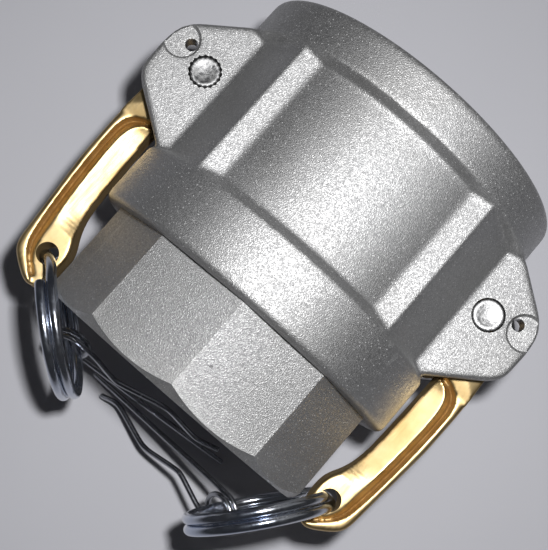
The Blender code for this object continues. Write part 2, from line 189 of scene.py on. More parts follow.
BOSS_TILT = math.radians(3.0)
RING_HOLE = (0.45, -42.7)
RING_HOLE_R = 2.1

# Split rings. Each is one wire wound twice.
RING_R = 12.98
RING_WIRE_R = 0.97
RING_PITCH = 2.0
RING_SET_BACK = 0.3
RING_STEPS = 120
RING_GAP_TURN = 0.11
RING_CROSS_TURN = 0.08
RING_TURN = {"left": math.radians(-40.5), "right": math.radians(-129.3)}
RING_SPLIT = {"left": math.radians(20.0), "right": math.radians(-12.0)}

# Hairpin safety clips.
CLIP_WIRE_R = 0.55
COIL_R = 3.65
COIL_PITCH = 1.4
COIL_TURNS = 1.5
COIL_STEPS = 48
CLIP_STRAIGHT_X = (42.0, 22.0, 6.0)
CLIP_FLAT_X = 32.0
CLIP_BEND = 2.2
CLIP_WAVE = [(4.5, 2.6), (11.6, -0.7), (13.2, -0.6), (22.2, 1.5), (24.4, 1.4), (32.4, -1.7),
             (34.4, -1.8), (38.6, -0.4)]
CLIP_SEAT = {"left": math.radians(-102.0), "right": math.radians(-122.0)}
CLIP_DIRECTION = {"left": Vector((34.0, 3.0, -14.6)), "right": Vector((-34.2, 0.3, -20.5))}

# How fine the meshes are. A remeshed piece gets edges rounded by about its cell.
TURN_STEPS = 180
PIN_STEPS = 96
CORNER_SHARE = 0.45
BODY_CELL = 0.42
ARM_CELL = 0.24
BODY_PASSES = 8
ARM_PASSES = 5
KEEP_SHARE = 0.5
SHARP_DEGREES = 30.0

# Heights on an arm between which its brass turns from dull to rubbed bright.
DULL_BELOW = 2.6
BRIGHT_ABOVE = 3.1

# Camera and lights, in metres and degrees, about the middle of the coupling.
CAMERA_PLACE = (0.00855, -0.02089, 0.24366)
CAMERA_TURN = (6.662, -2.568, 40.896)
CAMERA_LENS = 75.3
SENSOR_WIDTH = 36.0
KEY_OFFSET = (0.021, 0.020, 0.0)
KEY_SIZE = 0.012
KEY_POWER = 0.53
FILL_PLACE = (0.10, 0.45, 0.45)
FILL_SIZE = 0.5
FILL_POWER = 0.11
WORLD_COLOUR = (0.30, 0.31, 0.34)
WORLD_STRENGTH = 0.10
FLOOR_SIZE = 1.2
FLOOR_COLOUR = (0.56, 0.56, 0.60)


# ---------------------------------------------------------------- places from the frame

def joint_place(frame, name):
    """Return where a packed joint turns."""
    return Vector(next(joint["pos_m"] for joint in frame["record"]["behaviour"]["joints"]
                       if joint["name"] == name))


def coupling_centre(frame):
    """Return the point midway between the two pins."""
    return (joint_place(frame, "arm_left_swing") + joint_place(frame, "arm_right_swing")) / 2


# ---------------------------------------------------------------- outlines

def ease(t):
    """Return a smooth step from 0 to 1."""
    t = min(1.0, max(0.0, t))
    return 3 * t ** 2 - 2 * t ** 3


def corner_curve(before, corner, after, radius, steps):
    """Return points on a quadratic curve that cuts one corner."""
    reach_in = min(radius, (before - corner).length * CORNER_SHARE)
    reach_out = min(radius, (after - corner).length * CORNER_SHARE)
    start = corner + (before - corner).normalized() * reach_in
    end = corner + (after - corner).normalized() * reach_out
    points = []
    for step in range(steps + 1):
        t = step / steps
        points.append(start * (1 - t) ** 2 + corner * 2 * t * (1 - t) + end * t ** 2)
    return points


def round_outline(points, radius, steps=6):
    """Round every corner of a closed outline."""
    line = [Vector(point) for point in points]
    result = []
    for index, corner in enumerate(line):
        following = line[(index + 1) % len(line)]
        result.extend(corner_curve(line[index - 1], corner, following, radius, steps))
    return result


def round_line(points, radius, steps=6):
    """Round every inner corner of an open line."""
    line = [Vector(point) for point in points]
    result = [line[0]]
    for before, corner, after in zip(line, line[1:], line[2:]):
        result.extend(corner_curve(before, corner, after, radius, steps))
    result.append(line[-1])
    return result


def circle(centre, radius, count=64):
    """Return the points of a circle in the XY plane."""
    turns = [2 * math.pi * index / count for index in range(count)]
    return [(centre[0] + radius * math.cos(turn), centre[1] + radius * math.sin(turn)) for turn in turns]


def splined_circle(centre, radius, depth, teeth):
    """Return a circle whose edge carries small pointed teeth."""
    points = []
    for index in range(teeth * 2):
        turn = math.pi * index / teeth
        reach = radius + depth * (0.5 if index % 2 else -0.5)
        points.append((centre[0] + reach * math.cos(turn), centre[1] + reach * math.sin(turn)))
    return points


def drawn_inwards(outline, distance):
    """Return a closed outline drawn inwards by a distance smaller than its corners' radius."""
    line = [Vector(point) for point in outline]
    pairs = list(zip(line, line[1:] + line[:1]))
    area = sum(first.x * second.y - first.y * second.x for first, second in pairs)
    way = distance if area > 0 else -distance
    result = []
    for index, point in enumerate(line):
        along = (line[(index + 1) % len(line)] - line[index - 1]).normalized()
        result.append((point.x - along.y * way, point.y + along.x * way))
    return result


def spaced(line, gap):
    """Return an open line with points added so that none are further apart than a gap."""
    result = [line[0]]
    for before, after in zip(line, line[1:]):
        count = max(1, math.ceil((after - before).length / gap))
        result.extend(before.lerp(after, step / count) for step in range(1, count + 1))
    return result


def mirrored(outline, side):
    """Flip an outline across the coupling's axis for the left side."""
    return [(side * point[0], point[1]) for point in outline]


# ---------------------------------------------------------------- solids

def add_loft(builder, loops):
    """Join a stack of closed loops of equal length, in millimetres, into one closed solid."""
    rings = [[builder.verts.new(Vector(point) * MM) for point in loop] for loop in loops]
    for lower, upper in zip(rings, rings[1:]):
        count = len(lower)
        for index in range(count):
            following = (index + 1) % count
            builder.faces.new((lower[index], lower[following], upper[following], upper[index]))
    builder.faces.new(rings[0])
    builder.faces.new(rings[-1])


def add_prism(builder, outline, low_z, high_z):
    """Add an upright prism over a flat outline."""
    add_loft(builder, [[(point[0], point[1], z) for point in outline] for z in (low_z, high_z)])


def turned_loop(radius, y, steps=TURN_STEPS):
    """Return one circle about the coupling's axis."""
    turns = [2 * math.pi * index / steps for index in range(steps)]
    return [(radius * math.sin(turn), y, radius * math.cos(turn)) for turn in turns]


def add_turned(builder, profile):
    """Add a solid turned about the coupling's axis from (radius, y) points."""
    add_loft(builder, [turned_loop(radius, y) for radius, y in profile])


def add_turned_ring(builder, profile):
    """Add a ring turned about the coupling's axis from a closed (radius, y) section."""
    loops = [[builder.verts.new(Vector(point) * MM) for point in turned_loop(radius, y)]
             for radius, y in profile]
    for lower, upper in zip(loops, loops[1:] + loops[:1]):
        for index in range(len(lower)):
            following = (index + 1) % len(lower)
            builder.faces.new((lower[index], lower[following], upper[following], upper[index]))


def add_tube(builder, points, radius, sides=20):
    """Add a round wire along points in millimetres, with its two ends rounded over."""
    frames = []
    up = Vector((0.0, 0.0, 1.0))
    for index, point in enumerate(points):
        ahead = points[min(index + 1, len(points) - 1)] - points[max(index - 1, 0)]
        along = ahead.normalized()
        up = (up - along * up.dot(along)).normalized()
        frames.append((point, along, up, along.cross(up)))
    stations = [(*frame, radius) for frame in frames]
    cap = 4
    for which, sign in ((0, -1), (-1, 1)):
        place, along, up, across = frames[which]
        ends = []
        for step in range(1, cap + 1):
            turn = math.pi / 2 * step / (cap + 0.35)
            ends.append((place + along * sign * radius * 0.6 * math.sin(turn), along, up, across,
                         radius * math.cos(turn)))
        stations = ends[::-1] + stations if which == 0 else stations + ends
    loops = []
    for place, along, up, across, reach in stations:
        turns = [2 * math.pi * side / sides for side in range(sides)]
        loops.append([place + (up * math.cos(turn) + across * math.sin(turn)) * reach for turn in turns])
    add_loft(builder, loops)


def add_object(name, mesh, place):
    """Link a mesh into the scene with its vertices moved to their place in the frame."""
    mesh.transform(Matrix.Translation(place))
    item = bpy.data.objects.new(name, mesh)
    bpy.context.collection.objects.link(item)
    return item


def to_mesh(name, builder, sharp_degrees=SHARP_DEGREES):
    """Turn a bmesh into a smooth-shaded mesh with its faces pointing out."""
    bmesh.ops.recalc_face_normals(builder, faces=builder.faces)
    mesh = bpy.data.meshes.new(name)
    builder.to_mesh(mesh)
    builder.free()
    mesh.shade_smooth()
    mesh.set_sharp_from_angle(angle=math.radians(sharp_degrees))
    return mesh


def baked(item):
    """Return an object's mesh with its modifiers applied."""
    bpy.context.view_layer.update()
    shown = item.evaluated_get(bpy.context.evaluated_depsgraph_get())
    return bpy.data.meshes.new_from_object(shown)


def carve(name, steps, start=None):
    """Combine solids in turn, each a (Boolean operation, function that fills a bmesh, material).

    A cut leaves its own material on the faces that it makes. The first solid is the start, if given.
    """
    base = [] if start is None else [add_object(name + "_start", start, Vector())]
    items = list(base)
    for number, (operation, fill, material) in enumerate(steps):
        builder = bmesh.new()
        fill(builder)
        item = add_object(f"{name}_step_{number}", to_mesh(name, builder), Vector())
        item.data.materials.append(material)
        items.append(item)
        if item is not items[0]:
            modifier = items[0].modifiers.new(item.name, 'BOOLEAN')
            modifier.operation = operation
            modifier.solver = 'EXACT'
            modifier.material_mode = 'TRANSFER'
            modifier.object = item
    mesh = baked(items[0])
    for item in items:
        bpy.data.objects.remove(item, do_unlink=True)
    return mesh


def soften(name, mesh, cell, passes, material):
    """Remesh a carved solid evenly and round its edges a little, as casting and forging do."""
    item = add_object(name, mesh, Vector())
    remesh = item.modifiers.new("even", 'REMESH')
    remesh.mode = 'VOXEL'
    remesh.voxel_size = cell * MM
    smooth = item.modifiers.new("round", 'SMOOTH')
    smooth.factor = 0.5
    smooth.iterations = passes
    thin = item.modifiers.new("thin", 'DECIMATE')
    thin.ratio = KEEP_SHARE
    result = baked(item)
    bpy.data.objects.remove(item, do_unlink=True)
    result.name = name
    result.materials.clear()
    result.materials.append(material)
    result.shade_smooth()
    return result


# ---------------------------------------------------------------- materials

class Nodes:
    """A short way to build one material's nodes."""

    def __init__(self, name, colour, metallic, roughness):
        self.material = bpy.data.materials.new(name)
        self.material.use_nodes = True
        self.tree = self.material.node_tree
        self.shader = self.tree.nodes["Principled BSDF"]
        self.shader.inputs["Base Color"].default_value = (*colour, 1.0)
        self.shader.inputs["Metallic"].default_value = metallic
        self.shader.inputs["Roughness"].default_value = roughness
        self.place = self.add("ShaderNodeTexCoord").outputs["Object"]

    def add(self, kind):
        """Add a node."""
        return self.tree.nodes.new(kind)

    def link(self, source, target):
        """Link a socket to another, or set a plain value."""
        if isinstance(source, (int, float)):
            target.default_value = source
        else:
            self.tree.links.new(source, target)

    def stretched(self, scale):
        """Return the object's coordinates stretched by a scale for each axis."""
        node = self.add("ShaderNodeMapping")
        node.inputs["Scale"].default_value = scale
        self.link(self.place, node.inputs["Vector"])
        return node.outputs["Vector"]

    def noise(self, per_mm, detail=3.0, roughness=0.5, place=None):
        """Return noise with a number of features in each millimetre."""
        node = self.add("ShaderNodeTexNoise")
        node.inputs["Scale"].default_value = per_mm / MM
        node.inputs["Detail"].default_value = detail
        node.inputs["Roughness"].default_value = roughness
        self.link(place or self.place, node.inputs["Vector"])
        return node.outputs["Fac"]

    def cells(self, per_mm):
        """Return a random value for each of many small cells, and the distance from its middle."""
        node = self.add("ShaderNodeTexVoronoi")
        node.inputs["Scale"].default_value = per_mm / MM
        self.link(self.place, node.inputs["Vector"])
        return node.outputs["Color"], node.outputs["Distance"]

    def spread(self, value, low, high, to_low=0.0, to_high=1.0):
        """Return a value's range stretched over another range."""
        node = self.add("ShaderNodeMapRange")
        for name, number in (("From Min", low), ("From Max", high), ("To Min", to_low), ("To Max", to_high)):
            node.inputs[name].default_value = number
        self.link(value, node.inputs["Value"])
        return node.outputs["Result"]

    def maths(self, operation, first, second):
        """Return two values combined."""
        node = self.add("ShaderNodeMath")
        node.operation = operation
        self.link(first, node.inputs[0])
        self.link(second, node.inputs[1])
        return node.outputs["Value"]

    def mix(self, factor, first, second):
        """Return two colours mixed."""
        node = self.add("ShaderNodeMix")
        node.data_type = 'RGBA'
        self.link(factor, node.inputs["Factor"])
        for colour, socket in ((first, node.inputs["A"]), (second, node.inputs["B"])):
            if isinstance(colour, tuple):
                socket.default_value = (*colour, 1.0)
            else:
                self.link(colour, socket)
        return node.outputs["Result"]

    def edges(self, low, high):
        """Return how strongly a surface bulges, from 0 in flats and hollows to 1 on edges."""
        node = self.add("ShaderNodeNewGeometry")
        return self.spread(node.outputs["Pointiness"], low, high)

    def colour(self, value):
        """Set the base colour."""
        self.link(value, self.shader.inputs["Base Color"])

    def roughness(self, value):
        """Set the roughness."""
        self.link(value, self.shader.inputs["Roughness"])

    def bump(self, height, strength, depth_mm):
        """Raise the surface by a height."""
        node = self.add("ShaderNodeBump")
        node.inputs["Strength"].default_value = strength
        node.inputs["Distance"].default_value = depth_mm * MM
        self.link(height, node.inputs["Height"])
        self.link(node.outputs["Normal"], self.shader.inputs["Normal"])


def cast_aluminium():
    """Shot-blasted grey casting: tiny facets that catch the light, painted glints of pale specks, and a
    little handling wear.
    """
    nodes = Nodes("cast_aluminium", (0.40, 0.40, 0.40), 0.95, 0.50)
    facets, pebbles = nodes.cells(5.2)
    grain = nodes.noise(7.5, 1.0, 0.6)
    stains = nodes.spread(nodes.noise(0.045, 5.0, 0.6), 0.42, 0.66)
    base = nodes.mix(facets, (0.31, 0.31, 0.315), (0.51, 0.51, 0.51))
    worn = nodes.mix(nodes.maths('MULTIPLY', stains, 0.3), base, (0.24, 0.235, 0.225))
    edge = nodes.maths('MULTIPLY', nodes.edges(0.51, 0.56), 0.4)
    marks = nodes.spread(nodes.noise(0.22, 5.0, 0.72), 0.69, 0.73, 0.0, 0.65)
    marked = nodes.mix(marks, nodes.mix(edge, worn, (0.62, 0.62, 0.61)), (0.07, 0.07, 0.07))
    # Painted glints: sparse pale specks, less metallic than the rest, stand in for blasted facets catching
    # the light; they also dim the highlights a little.
    coarse = nodes.spread(nodes.cells(1.5)[1], 0.09, 0.14, 1.0, 0.0)
    fine = nodes.spread(nodes.cells(3.4)[1], 0.14, 0.24, 0.5, 0.0)
    painted_glint = nodes.maths('MAXIMUM', coarse, fine)
    nodes.colour(nodes.mix(painted_glint, marked, (0.85, 0.85, 0.85)))
    nodes.link(nodes.spread(painted_glint, 0.0, 1.0, 0.95, 0.3), nodes.shader.inputs["Metallic"])
    nodes.roughness(nodes.spread(facets, 0.2, 0.8, 0.66, 0.44))
    nodes.bump(nodes.maths('ADD', nodes.maths('MULTIPLY', pebbles, 0.8), grain), 1.0, 0.05)
    return nodes.material


def machined_aluminium():
    """Turned aluminium: fine rings round the coupling's axis."""
    nodes = Nodes("machined_aluminium", (0.62, 0.62, 0.63), 1.0, 0.30)
    rings = nodes.noise(6.0, 2.0, 0.5, nodes.stretched((0.02, 1.0, 0.02)))
    cloud = nodes.noise(0.12, 3.0)
    nodes.colour(nodes.mix(cloud, (0.50, 0.50, 0.51), (0.72, 0.72, 0.73)))
    nodes.roughness(nodes.spread(rings, 0.3, 0.7, 0.24, 0.42))
    nodes.bump(rings, 0.25, 0.03)
    return nodes.material


def rubber():
    """Black nitrile: matt, faintly mottled, with a dusty bloom."""
    nodes = Nodes("nitrile_rubber", (0.02, 0.02, 0.02), 0.0, 0.62)
    bloom = nodes.noise(0.25, 5.0, 0.6)
    nodes.colour(nodes.mix(nodes.spread(bloom, 0.4, 0.75), (0.014, 0.014, 0.015), (0.045, 0.044, 0.042)))
    nodes.roughness(nodes.spread(bloom, 0.3, 0.7, 0.52, 0.72))
    nodes.bump(nodes.noise(3.0, 3.0), 0.25, 0.04)
    return nodes.material


def brass():
    """Tumbled forged brass: pale rubbed faces, browner hollows and fine scratches."""
    nodes = Nodes("brass", (0.80, 0.62, 0.33), 1.0, 0.40)
    cloud = nodes.noise(0.16, 5.0, 0.6)
    scratch = nodes.noise(1.6, 3.0, 0.7, nodes.stretched((1.0, 0.10, 1.0)))
    base = nodes.mix(nodes.spread(cloud, 0.35, 0.70), (0.65, 0.50, 0.27), (0.51, 0.36, 0.16))
    parts = nodes.add("ShaderNodeSeparateXYZ")
    nodes.link(nodes.place, parts.inputs["Vector"])
    height = nodes.maths('ABSOLUTE', nodes.maths('SUBTRACT', parts.outputs["Z"], ARM_MIDDLE_Z), 0.0)
    low = nodes.spread(height, DULL_BELOW * MM, BRIGHT_ABOVE * MM, 1.0, 0.0)
    facing = nodes.add("ShaderNodeSeparateXYZ")
    nodes.link(nodes.add("ShaderNodeTexCoord").outputs["Normal"], facing.inputs["Vector"])
    level = nodes.maths('ABSOLUTE', facing.outputs["Z"], 0.0)
    dull = nodes.maths('MULTIPLY', low, nodes.spread(level, 0.1, 0.5, 0.35, 1.0))
    nodes.colour(nodes.mix(nodes.maths('MULTIPLY', dull, 0.9), base, (0.24, 0.12, 0.03)))
    nodes.roughness(nodes.maths('ADD', nodes.spread(scratch, 0.3, 0.7, 0.36, 0.54),
                                nodes.maths('MULTIPLY', dull, 0.25)))
    relief = nodes.maths('ADD', nodes.maths('MULTIPLY', scratch, 0.5), nodes.noise(0.55, 4.0, 0.6))
    nodes.bump(relief, 0.25, 0.05)
    return nodes.material


def pin_metal():
    """Cropped pin end: pale, coarse and torn, with the left pin painted darker as shade."""
    nodes = Nodes("pin_steel", (0.70, 0.70, 0.70), 0.9, 0.42)
    torn = nodes.noise(1.3, 5.0, 0.7)
    tear = nodes.spread(torn, 0.38, 0.60)
    parts = nodes.add("ShaderNodeSeparateXYZ")
    nodes.link(nodes.place, parts.inputs["Vector"])
    # Painted shade: the pin on the -X side gets the darker tones and the other pin the pale ones, standing
    # in for the different light on the two pin ends.
    dull = nodes.mix(tear, (0.15, 0.15, 0.155), (0.40, 0.40, 0.40))
    pale = nodes.mix(tear, (0.30, 0.30, 0.305), (0.70, 0.70, 0.70))
    nodes.colour(nodes.mix(nodes.spread(parts.outputs["X"], -MM, MM), dull, pale))
    nodes.roughness(nodes.spread(torn, 0.3, 0.7, 0.38, 0.55))
    nodes.bump(torn, 0.6, 0.16)
    return nodes.material


def zinc():
    """Bright zinc plate with a bluish passivation, streaked round the wire."""
    nodes = Nodes("zinc_plate", (0.60, 0.64, 0.72), 1.0, 0.16)
    streak = nodes.noise(0.7, 4.0, 0.6)
    cloud = nodes.noise(0.12, 3.0, 0.5)
    nodes.colour(nodes.mix(nodes.spread(cloud, 0.35, 0.65), (0.50, 0.55, 0.66), (0.70, 0.72, 0.76)))
    nodes.roughness(nodes.spread(streak, 0.3, 0.7, 0.12, 0.26))
    nodes.bump(nodes.noise(1.4, 3.0), 0.15, 0.03)
    return nodes.material


def spring_wire():
    """Drawn spring wire: darker than the rings, with fine die lines."""
    nodes = Nodes("clip_wire", (0.36, 0.37, 0.40), 1.0, 0.24)
    lines = nodes.noise(0.8, 3.0, 0.6)
    nodes.colour(nodes.mix(lines, (0.32, 0.33, 0.36), (0.44, 0.45, 0.48)))
    nodes.roughness(nodes.spread(lines, 0.3, 0.7, 0.20, 0.28))
    nodes.bump(lines, 0.03, 0.01)
    return nodes.material


def floor_finish():
    """Plain pale floor, faintly mottled."""
    nodes = Nodes("floor", FLOOR_COLOUR, 0.0, 0.8)
    tone = tuple(value * 0.94 for value in FLOOR_COLOUR)
    nodes.colour(nodes.mix(nodes.noise(0.02, 3.0), FLOOR_COLOUR, tone))
    return nodes.material


# ---------------------------------------------------------------- body

def fill_cup(builder):
    """Fill in the outside of the cup, with its rim and collar rounded."""
    collar = []
    for step in range(7):
        turn = math.pi / 2 * step / 6
        collar.append((RIM_R - COLLAR_ROUND * (1 - math.sin(turn)),
                       COLLAR_FOOT_Y - COLLAR_ROUND * math.cos(turn)))
    rim = []
    for step in range(7):
        turn = math.pi / 2 * step / 6
        rim.append((RIM_R - RIM_ROUND * (1 - math.cos(turn)), MOUTH_Y - RIM_ROUND * (1 - math.sin(turn))))
    profile = [(RIM_R - 3 * COLLAR_ROUND, COLLAR_FOOT_Y - COLLAR_ROUND)] + collar
    profile += [(RIM_R, COLLAR_TOP_Y), (BARREL_R, BARREL_FOOT_Y), (BARREL_R, BARREL_TOP_Y),
                (RIM_R, RIM_FOOT_Y)] + rim
    add_turned(builder, profile)


def fill_thread_end(builder):
    """Fill in the ten-sided end: its root, the arcs where its chamfer starts, and the end circle."""
    per_side = 18
    flat_r = END_CORNER_R * math.cos(math.pi / END_SIDES)
    root, scallop, end = [], [], []
    for index in range(END_SIDES * per_side):
        turn = 2 * math.pi * index / (END_SIDES * per_side)
        within = (turn % (2 * math.pi / END_SIDES)) - math.pi / END_SIDES
        radius = flat_r / math.cos(within)
        across, up = math.sin(turn), math.cos(turn)
        root.append((radius * across, COLLAR_FOOT_Y, radius * up))
        scallop.append((radius * across, END_Y + (radius - END_CHAMFER_R), radius * up))
        end.append((END_CHAMFER_R * across, END_Y, END_CHAMFER_R * up))
    add_loft(builder, [root, scallop, end])


def fill_pads(builder):
    """Fill in the four raised pads: flat top, bevel, then a slope down to the lug."""
    section = [(PAD_ROOT_X, PAD_ROOT_Z), (LUG_INNER_X, PAD_ROOT_Z), (LUG_INNER_X, LUG_HALF_HEIGHT),
               (PAD_BEVEL_X, PAD_BEVEL_Z), (PAD_EDGE_X, PAD_TOP_Z), (PAD_ROOT_X, PAD_TOP_Z)]
    for side, _ in SIDES:
        for level in (-1, 1):
            loops = []
            for y in (COLLAR_TOP_Y - PAD_OVERLAP, RIM_FOOT_Y + PAD_OVERLAP):
                loops.append([(side * x, y, level * z) for x, z in section])
            add_loft(builder, loops)


def fill_lugs(builder):
    """Fill in the two lugs, with their upper and lower edges rounded over."""
    outline = [LUG_OUTLINE[0]]
    outline += [tuple(point) for point in round_line(LUG_OUTLINE, LUG_CORNER, 5)[1:-1]]
    outline.append(LUG_OUTLINE[-1])
    middle = Vector(LUG_MIDDLE)
    levels = []
    for step in range(5):
        turn = math.pi / 2 * step / 4
        levels.append((LUG_HALF_HEIGHT - LUG_EDGE_ROUND * (1 - math.sin(turn)),
                       LUG_EDGE_ROUND * (1 - math.cos(turn))))
    levels = [(-z, drawn_in) for z, drawn_in in levels[::-1]] + levels
    for side, _ in SIDES:
        loops = []
        for z, drawn_in in levels:
            loop = []
            for point in outline:
                offset = Vector(point) - middle
                keep = 1.0 if point[0] == LUG_ROOT_X else 1.0 - drawn_in / offset.length
                place = middle + offset * keep
                loop.append((side * place.x, place.y, z))
            loops.append(loop)
        add_loft(builder, loops)


def fill_core(builder):
    """Fill in the casting's own hollow, a little smaller than the bore that is machined out of it."""
    left = 1.0
    add_turned(builder, [(BORE_R - left, MOUTH_Y + left), (BORE_R - left, GROOVE_FLOOR_Y + left),
                         (WATERWAY_R - left, GROOVE_FLOOR_Y + left), (WATERWAY_R - left, END_Y - left)])


def fill_bore(builder):
    """Fill in the bore as a solid, from past the mouth to past the thread end."""
    past = 1.0
    add_turned(builder, [
        (BORE_R + MOUTH_CHAMFER + past, MOUTH_Y + past),
        (BORE_R, MOUTH_Y - MOUTH_CHAMFER),
        (BORE_R, GROOVE_TOP_Y),
        (GROOVE_R, GROOVE_TOP_Y),
        (GROOVE_R, GROOVE_FLOOR_Y),
        (WATERWAY_R, GROOVE_FLOOR_Y),
        (WATERWAY_R, WATERWAY_FOOT_Y),
        (THREAD_R, WATERWAY_FOOT_Y - (THREAD_R - WATERWAY_R)),
        (THREAD_R, END_Y + THREAD_CHAMFER),
        (THREAD_R + THREAD_CHAMFER + past, END_Y - past),
    ])


def fill_slots(builder):
    """Fill in the two slots that the arms' hubs turn in."""
    for side, _ in SIDES:
        add_prism(builder, mirrored(SLOT_OUTLINE, side), -SLOT_HALF_HEIGHT, SLOT_HALF_HEIGHT)


def fill_lug_holes(builder):
    """Fill in the pin holes, splined on the left where its pin bit in, and the clip holes."""
    past = LUG_HALF_HEIGHT + LUG_PAST
    pin_x = PIN_X
    add_prism(builder, circle((pin_x, 0.0), PIN_HOLE_R), -past, past)
    add_prism(builder, splined_circle((-pin_x, 0.0), PIN_HOLE_R - SPLINE_DEPTH / 2, 2 * SPLINE_DEPTH,
                                      SPLINE_COUNT), -past, past)
    for side, _ in SIDES:
        add_prism(builder, mirrored(circle(CLIP_HOLE, CLIP_HOLE_R, 40), side), -past, past)


def fill_cast_recesses(builder):
    """Fill in the recesses as they are cast, a little smaller and shallower than their final cut."""
    floor_z = LUG_HALF_HEIGHT - RECESS_DEPTH + RECESS_CAST_REST
    radius = RECESS_R - RECESS_CAST_MARGIN
    for side, _ in SIDES:
        for level in (-1, 1):
            add_prism(builder, mirrored(circle(RECESS, radius), side), level * floor_z,
                      level * (LUG_HALF_HEIGHT + LUG_PAST))


def fill_recesses(builder):
    """Fill in the shallow round recesses round the clip holes."""
    past = LUG_HALF_HEIGHT + LUG_PAST
    floor_z = LUG_HALF_HEIGHT - RECESS_DEPTH
    for side, _ in SIDES:
        rim, floor = [mirrored(circle(RECESS, radius), side) for radius in (RECESS_R, RECESS_FLOOR_R)]
        for level in (-1, 1):
            walls = [(floor_z, floor), (LUG_HALF_HEIGHT, rim), (past, rim)]
            add_loft(builder, [[(x, y, level * z) for x, y in loop] for z, loop in walls])


def flatten_recess_floors(mesh):
    """Shade the recess floors flat, so that they do not blend into the rounded edges beside them."""
    floor_z = (LUG_HALF_HEIGHT - RECESS_DEPTH) * MM
    for polygon in mesh.polygons:
        if abs(abs(polygon.center.z) - floor_z) < 0.001 * MM:
            polygon.use_smooth = False


def build_body(place, cast, machined):
    """Build the body: the blasted casting, then the cuts that are machined into it."""
    casting = carve("casting", [
        ('UNION', fill_cup, cast),
        ('UNION', fill_pads, cast),
        ('UNION', fill_lugs, cast),
        ('DIFFERENCE', fill_core, cast),
        ('DIFFERENCE', fill_slots, cast),
        ('DIFFERENCE', fill_cast_recesses, cast),
    ])
    casting = soften("casting", casting, BODY_CELL, BODY_PASSES, cast)
    mesh = carve("cast_body", [
        ('UNION', fill_thread_end, cast),
        ('DIFFERENCE', fill_bore, machined),
        ('DIFFERENCE', fill_lug_holes, machined),
        ('DIFFERENCE', fill_recesses, cast),
    ], casting)
    mesh.shade_smooth()
    mesh.set_sharp_from_angle(angle=math.radians(SHARP_DEGREES))
    flatten_recess_floors(mesh)
    body = add_object("cast_body", mesh, place)
    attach(body, "coupler")
    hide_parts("body")


def build_thread(place, machined):
    """Build the female thread's ridge as a helix inside the thread end."""
    builder = bmesh.new()
    count = THREAD_TURNS * THREAD_STEPS
    start_y = END_Y + THREAD_CHAMFER + THREAD_START
    loops = []
    for index in range(count + 1):
        turn = 2 * math.pi * index / THREAD_STEPS
        y = start_y + THREAD_PITCH * index / THREAD_STEPS
        fade = min(1.0, index / THREAD_FADE_STEPS, (count - index) / THREAD_FADE_STEPS)
        loop = []
        for out, rise in THREAD_SECTION:
            reach = THREAD_R + (out if out > 0 else THREAD_BURIED + (out - THREAD_BURIED) * fade)
            loop.append((reach * math.sin(turn), y + rise, reach * math.cos(turn)))
        loops.append(loop)
    add_loft(builder, loops)
    thread = add_object("thread_ridge", to_mesh("thread_ridge", builder, 50.0), place)
    thread.data.materials.append(machined)
    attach(thread, "coupler")


def build_gasket(place, finish):
    """Build the gasket with its corners rounded."""
    middle_r = (GASKET_OUTER_R + GASKET_INNER_R) / 2
    half_r = (GASKET_OUTER_R - GASKET_INNER_R) / 2
    top, foot = GASKET_TOP_Y, GASKET_TOP_Y - GASKET_HEIGHT
    corners = [(middle_r + half_r, foot), (middle_r + half_r, top), (middle_r - half_r, top),
               (middle_r - half_r, foot)]
    section = [tuple(point) for point in round_outline(corners, GASKET_ROUND, 5)]
    builder = bmesh.new()
    add_turned_ring(builder, section)
    gasket = add_object("rubber_gasket", to_mesh("rubber_gasket", builder), place)
    gasket.data.materials.append(finish)
    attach(gasket, "coupler")
    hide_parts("gasket")


def build_pin(side, word, place, finish):
    """Build a pivot pin: ends dished a little and turned over at the edge, splined on the left."""
    levels = []
    for step in range(6):
        turn = math.pi / 2 * step / 5
        levels.append((PIN_HALF_LENGTH - PIN_EDGE_ROUND * (1 - math.sin(turn)),
                       PIN_R - PIN_EDGE_ROUND * (1 - math.cos(turn))))
    levels += [(PIN_HALF_LENGTH - sunk, PIN_R - inside) for sunk, inside in PIN_DISH]
    levels = [(-z, radius) for z, radius in levels[::-1]] + levels
    loops = []
    for z, radius in levels:
        splined = side < 0 and radius > SPLINE_INNER_R
        tooth = SPLINE_DEPTH / 2 if splined else 0.0
        loop = []
        for index in range(PIN_STEPS):
            turn = 2 * math.pi * index / PIN_STEPS
            reach = radius - tooth + tooth * math.cos(SPLINE_COUNT * turn)
            loop.append((reach * math.cos(turn), reach * math.sin(turn), z))
        loops.append(loop)
    builder = bmesh.new()
    add_loft(builder, loops)
    pin = add_object("pin_" + word, to_mesh("pin_" + word, builder, 50.0), place)
    pin.data.materials.append(finish)
    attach(pin, "coupler")
    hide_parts("pivot_pin_" + word)


# ---------------------------------------------------------------- arms

def hub_outline():
    """Return the cam: a round hub that swells inwards to the nose, and its foot on the handle."""
    points = []
    count = 72
    for index in range(count + 1):
        turn = HUB_START + (HUB_END - HUB_START) * index / count
        swell = ease((turn - HUB_SWELL_START) / (HUB_NOSE - HUB_SWELL_START))
        radius = HUB_R + (NOSE_R - HUB_R) * swell
        points.append((radius * math.cos(turn), radius * math.sin(turn)))
    return points + HUB_FOOT


